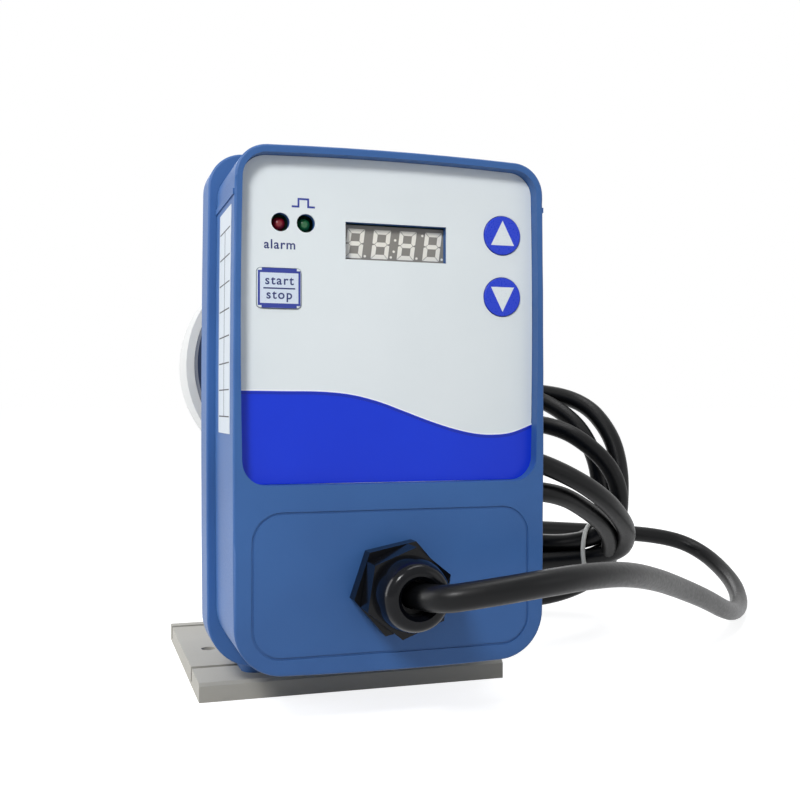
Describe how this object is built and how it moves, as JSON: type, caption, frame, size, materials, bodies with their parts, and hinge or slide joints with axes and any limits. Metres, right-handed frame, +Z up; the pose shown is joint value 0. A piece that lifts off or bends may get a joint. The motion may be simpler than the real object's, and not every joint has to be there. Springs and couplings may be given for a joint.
{
  "type": "diaphragm metering pump",
  "caption": "Solenoid diaphragm metering pump on a grey base plate: blue moulded control box with keypad and display, round pump head with check valves, and a mains cord from a gland.",
  "frame": {"origin": "centre of the base plate's underside", "axes": "+Z up, the control panel faces -Y, the pump head is at +Y, +X to the right seen from the panel"},
  "size_m": [0.3411, 0.2927, 0.249],
  "materials": {
    "housing_blue": "moulded satin blue",
    "base_grey": "satin warm grey",
    "panel_film": "printed polyester film, satin",
    "key_blue": "printed embossed film",
    "gland_black": "glossy black nylon",
    "cord_black": "glossy black sheath",
    "tie_white": "white nylon",
    "head_white": "satin ivory white",
    "adapter_black": "satin black",
    "steel": "bright steel",
    "iron": "dark plated iron",
    "winding": "lacquered copper winding",
    "bushing": "bronze",
    "rubber_black": "matt rubber",
    "board_green": "solder mask",
    "display_grey": "grey display face",
    "led_red": "clear red",
    "led_green": "clear green",
    "ceramic_white": "polished ceramic",
    "pin_metal": "nickel plated"
  },
  "bodies": {
    "pump": {"base_plate": "base_grey", "base_screws": "steel", "front_cover": "housing_blue", "panel_overlay": "panel_film", "display_module": "display_grey", "alarm_led": "led_red", "pulse_led": "led_green", "key_switches": "adapter_black", "control_board": "board_green", "board_screws": "steel", "rear_housing": "housing_blue", "cover_gasket": "rubber_black", "cover_screws": "steel", "solenoid_yoke": "iron", "winding_bobbin": "adapter_black", "solenoid_winding": "winding", "pole_piece": "iron", "guide_bush": "bushing", "return_spring": "steel", "head_adapter": "adapter_black", "diaphragm": "rubber_black", "pump_head": "head_white", "head_screws": "steel", "gland_body": "gland_black", "gland_locknut": "gland_black", "gland_seal": "rubber_black", "gland_nut": "gland_black", "cord_lead": "cord_black", "cord_tail": "cord_black", "cord_coil": "cord_black", "cord_tie": "tie_white", "plug_body": "gland_black", "plug_pins": "pin_metal", "suction_valve_body": "head_white", "suction_seat": "ceramic_white", "suction_seal": "rubber_black", "suction_union_nut": "head_white", "suction_hose_barb": "head_white", "discharge_valve_body": "head_white", "discharge_seat": "ceramic_white", "discharge_seal": "rubber_black", "discharge_union_nut": "head_white", "discharge_hose_barb": "head_white"},
    "up_key": {"up_key": "key_blue"},
    "down_key": {"down_key": "key_blue"},
    "start_stop_key": {"start_stop_key": "panel_film"},
    "plunger": {"armature": "iron", "plunger_shaft": "steel", "support_disc": "steel"},
    "suction_ball": {"suction_ball": "ceramic_white"},
    "discharge_ball": {"discharge_ball": "ceramic_white"},
    "bleed_screw": {"bleed_screw": "adapter_black"}
  },
  "joints": [
    {"name": "up_key_press", "type": "slide", "parent": "pump", "child": "up_key", "axis": [0, 1, 0], "range_m": [0, 0.0005], "stiffness_N_per_m": 300},
    {"name": "down_key_press", "type": "slide", "parent": "pump", "child": "down_key", "axis": [0, 1, 0], "range_m": [0, 0.0005], "stiffness_N_per_m": 300},
    {"name": "start_stop_key_press", "type": "slide", "parent": "pump", "child": "start_stop_key", "axis": [0, 1, 0], "range_m": [0, 0.0005], "stiffness_N_per_m": 300},
    {"name": "plunger_stroke", "type": "slide", "parent": "pump", "child": "plunger", "axis": [0, 1, 0], "range_m": [0, 0.0015], "stiffness_N_per_m": 3000, "springref_m": -0.002, "deforming": ["return_spring", "diaphragm"]},
    {"name": "suction_ball_lift", "type": "slide", "parent": "pump", "child": "suction_ball", "axis": [0, 0, 1], "range_m": [0, 0.002]},
    {"name": "discharge_ball_lift", "type": "slide", "parent": "pump", "child": "discharge_ball", "axis": [0, 0, 1], "range_m": [0, 0.002]},
    {"name": "bleed_screw_turn", "type": "hinge", "parent": "pump", "child": "bleed_screw", "pos_m": [0, 0.1015, 0.163], "axis": [0, 1, 0], "range_deg": [0, 270]}
  ]
}
